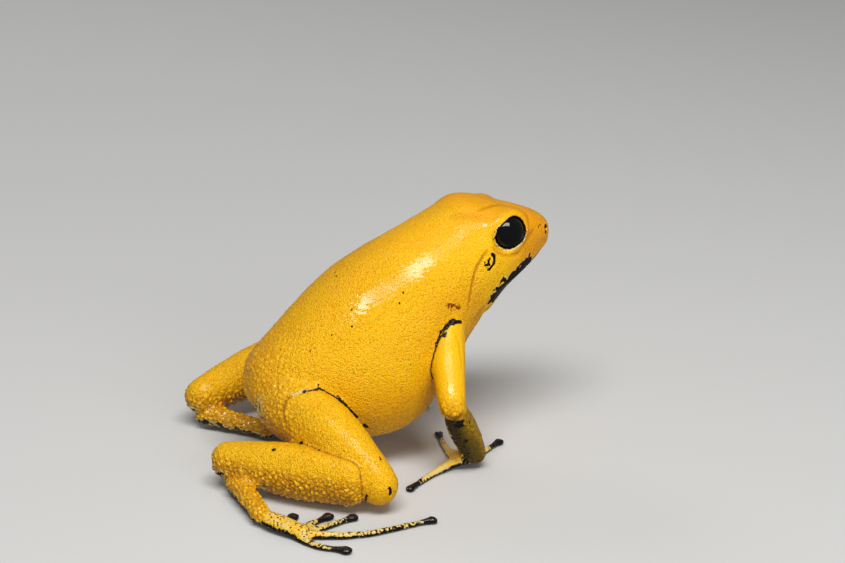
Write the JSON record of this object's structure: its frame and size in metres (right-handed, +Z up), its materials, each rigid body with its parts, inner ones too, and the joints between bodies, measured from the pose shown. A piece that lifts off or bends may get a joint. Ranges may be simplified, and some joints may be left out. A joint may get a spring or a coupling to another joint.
{
  "type": "golden poison frog",
  "caption": "Still life-size model of a small golden frog that sits on folded hind legs with its forequarters raised and head level, standing free on a flat floor.",
  "frame": {"origin": "on the floor, under the middle of the frog's box", "axes": "+X forwards, the way the snout points; +Y to the frog's left; +Z up"},
  "size_m": [0.0448, 0.0478, 0.0296],
  "materials": {
    "skin_yellow": "moist, finely grained, glossy",
    "skin_olive": "moist, finely grained, glossy, with dark mottling",
    "skin_mottled": "moist, glossy, mottled with black",
    "eye_black": "polished"
  },
  "bodies": {
    "root": {"torso": "skin_yellow", "head": "skin_yellow", "eye_right": "eye_black", "eye_left": "eye_black", "upper_arm_right": "skin_yellow", "upper_arm_left": "skin_yellow", "forearm_right": "skin_olive", "forearm_left": "skin_olive", "hand_right": "skin_mottled", "hand_left": "skin_mottled", "thigh_right": "skin_yellow", "thigh_left": "skin_yellow", "shank_right": "skin_yellow", "shank_left": "skin_yellow", "tarsus_right": "skin_yellow", "tarsus_left": "skin_yellow", "foot_right": "skin_mottled", "foot_left": "skin_mottled"}
  },
  "joints": []
}
